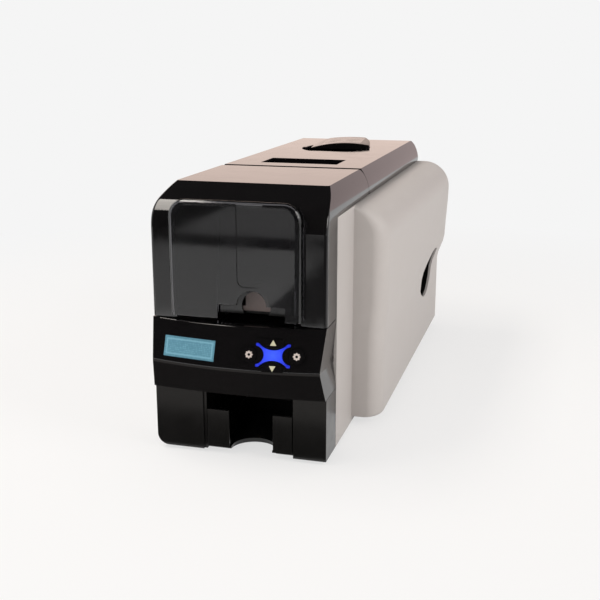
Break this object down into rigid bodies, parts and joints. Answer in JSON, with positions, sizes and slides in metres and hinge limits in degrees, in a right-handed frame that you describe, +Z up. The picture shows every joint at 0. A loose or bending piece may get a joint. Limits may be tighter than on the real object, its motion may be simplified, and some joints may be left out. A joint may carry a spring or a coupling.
{
  "type": "id card printer",
  "caption": "Desk-top printer for plastic identity cards with a hinged front door, a hinged top cover, a card hopper, driven rollers and an output tray.",
  "frame": {"origin": "middle of the footprint, on the table under the feet", "axes": "+X to the printer's right as seen from its front, +Y from the front to the rear, +Z up"},
  "size_m": [0.226, 0.468, 0.2355],
  "materials": {
    "gloss_black": "gloss",
    "matt_black": "satin",
    "light_grey": "satin",
    "smoked": "gloss",
    "display": "gloss",
    "blue_light": "gloss",
    "circuit_green": "satin",
    "steel": "satin",
    "natural_plastic": "satin",
    "grey_plastic": "satin",
    "black_rubber": "matt",
    "bronze": "satin",
    "alloy": "satin",
    "ribbon": "gloss"
  },
  "bodies": {
    "chassis": {"base_pan": "matt_black", "lower_front": "matt_black", "control_fascia": "gloss_black", "left_side_panel": "light_grey", "right_side_panel": "light_grey", "rear_panel": "light_grey", "centre_bridge": "matt_black", "grip_cups": "matt_black", "door_hinge_pins": "steel", "cover_hinge_pins": "steel", "display_module": "display", "light_guide": "blue_light", "control_board": "circuit_green", "card_hopper": "matt_black", "left_frame": "steel", "right_frame": "steel", "frame_spacers": "steel", "card_guide": "natural_plastic", "idler_studs": "steel", "shaft_bushes": "bronze", "drive_motor": "steel", "ribbon_cartridge": "natural_plastic", "ribbon_film": "ribbon", "main_board": "circuit_green", "power_supply": "steel", "power_inlet": "matt_black", "data_port": "steel", "feet": "black_rubber", "casing_screws": "steel"},
    "door": {"front_door": "gloss_black", "door_window": "smoked"},
    "cover": {"top_cover": "gloss_black", "top_grip": "gloss_black", "printhead": "alloy"},
    "latch": {"cover_latch": "matt_black"},
    "up_key": {"up_button": "gloss_black"},
    "down_key": {"down_button": "gloss_black"},
    "left_key": {"left_button": "gloss_black"},
    "right_key": {"right_button": "gloss_black"},
    "tray": {"output_tray": "matt_black"},
    "weight": {"card_weight": "grey_plastic"},
    "pick_drive": {"pick_shaft": "steel", "pick_roller": "black_rubber", "pick_gear": "natural_plastic"},
    "feed_drive": {"feed_shaft": "steel", "feed_roller": "black_rubber", "feed_gear": "natural_plastic"},
    "platen_drive": {"platen_shaft": "steel", "platen_roller": "black_rubber", "platen_gear": "natural_plastic"},
    "exit_drive": {"exit_shaft": "steel", "exit_roller": "black_rubber", "exit_gear": "natural_plastic"},
    "front_idler_gear": {"front_idler": "natural_plastic"},
    "middle_idler_gear": {"middle_idler": "natural_plastic"},
    "exit_idler_gear": {"exit_idler": "natural_plastic"},
    "motor_shaft": {"motor_pinion": "steel"},
    "supply_reel": {"supply_spool": "ribbon"},
    "takeup_reel": {"takeup_spool": "ribbon"},
    "rocker": {"power_switch": "gloss_black"}
  },
  "joints": [
    {"name": "door_hinge", "type": "hinge", "parent": "chassis", "child": "door", "pos_m": [0, -0.064, 0.219], "axis": [-1, 0, 0], "range_deg": [0, 70]},
    {"name": "cover_hinge", "type": "hinge", "parent": "chassis", "child": "cover", "pos_m": [0, 0.226, 0.219], "axis": [-1, 0, 0], "range_deg": [0, 75]},
    {"name": "latch_lever", "type": "hinge", "parent": "cover", "child": "latch", "pos_m": [0, -0.034, 0.22], "axis": [1, 0, 0], "range_deg": [0, 15], "stiffness_Nm_per_rad": 0.3},
    {"name": "up_press", "type": "slide", "parent": "chassis", "child": "up_key", "axis": [-0.1005, 0.9563, -0.2747], "range_m": [0, 0.0008], "stiffness_N_per_m": 500},
    {"name": "down_press", "type": "slide", "parent": "chassis", "child": "down_key", "axis": [-0.1005, 0.9563, -0.2747], "range_m": [0, 0.0008], "stiffness_N_per_m": 500},
    {"name": "left_press", "type": "slide", "parent": "chassis", "child": "left_key", "axis": [-0.1005, 0.9563, -0.2747], "range_m": [0, 0.0008], "stiffness_N_per_m": 500},
    {"name": "right_press", "type": "slide", "parent": "chassis", "child": "right_key", "axis": [-0.1005, 0.9563, -0.2747], "range_m": [0, 0.0008], "stiffness_N_per_m": 500},
    {"name": "tray_slide", "type": "slide", "parent": "chassis", "child": "tray", "axis": [0, -1, 0], "range_m": [0, 0.07]},
    {"name": "weight_lift", "type": "slide", "parent": "chassis", "child": "weight", "axis": [0, 0, 1], "range_m": [0, 0.055]},
    {"name": "pick_spin", "type": "hinge", "parent": "chassis", "child": "pick_drive", "pos_m": [0.011, -0.146, 0.117], "axis": [1, 0, 0], "continuous": true},
    {"name": "feed_spin", "type": "hinge", "parent": "chassis", "child": "feed_drive", "pos_m": [0.011, -0.074, 0.117], "axis": [1, 0, 0], "continuous": true},
    {"name": "platen_spin", "type": "hinge", "parent": "chassis", "child": "platen_drive", "pos_m": [0.011, -0.002, 0.117], "axis": [1, 0, 0], "continuous": true},
    {"name": "exit_spin", "type": "hinge", "parent": "chassis", "child": "exit_drive", "pos_m": [0.011, -0.074, 0.045], "axis": [1, 0, 0], "continuous": true},
    {"name": "front_idler_spin", "type": "hinge", "parent": "chassis", "child": "front_idler_gear", "pos_m": [0.011, -0.11, 0.117], "axis": [1, 0, 0], "continuous": true},
    {"name": "middle_idler_spin", "type": "hinge", "parent": "chassis", "child": "middle_idler_gear", "pos_m": [0.011, -0.038, 0.117], "axis": [1, 0, 0], "continuous": true},
    {"name": "exit_idler_spin", "type": "hinge", "parent": "chassis", "child": "exit_idler_gear", "pos_m": [0.011, -0.074, 0.081], "axis": [1, 0, 0], "continuous": true},
    {"name": "motor_spin", "type": "hinge", "parent": "chassis", "child": "motor_shaft", "pos_m": [0.011, -0.002, 0.0906], "axis": [1, 0, 0], "continuous": true},
    {"name": "supply_spin", "type": "hinge", "parent": "chassis", "child": "supply_reel", "pos_m": [0.011, -0.046, 0.164], "axis": [1, 0, 0], "continuous": true},
    {"name": "takeup_spin", "type": "hinge", "parent": "chassis", "child": "takeup_reel", "pos_m": [0.011, 0.042, 0.164], "axis": [1, 0, 0], "continuous": true},
    {"name": "rocker_tilt", "type": "hinge", "parent": "chassis", "child": "rocker", "pos_m": [-0.02, 0.229, 0.033], "axis": [1, 0, 0], "range_deg": [-16, 0]}
  ],
  "couplings": [
    {"joint": "pick_spin", "follows": "platen_spin", "ratio": 1},
    {"joint": "feed_spin", "follows": "platen_spin", "ratio": 1},
    {"joint": "exit_spin", "follows": "platen_spin", "ratio": 1},
    {"joint": "front_idler_spin", "follows": "platen_spin", "ratio": -1},
    {"joint": "middle_idler_spin", "follows": "platen_spin", "ratio": -1},
    {"joint": "exit_idler_spin", "follows": "platen_spin", "ratio": -1},
    {"joint": "motor_spin", "follows": "platen_spin", "ratio": -2.1429}
  ]
}
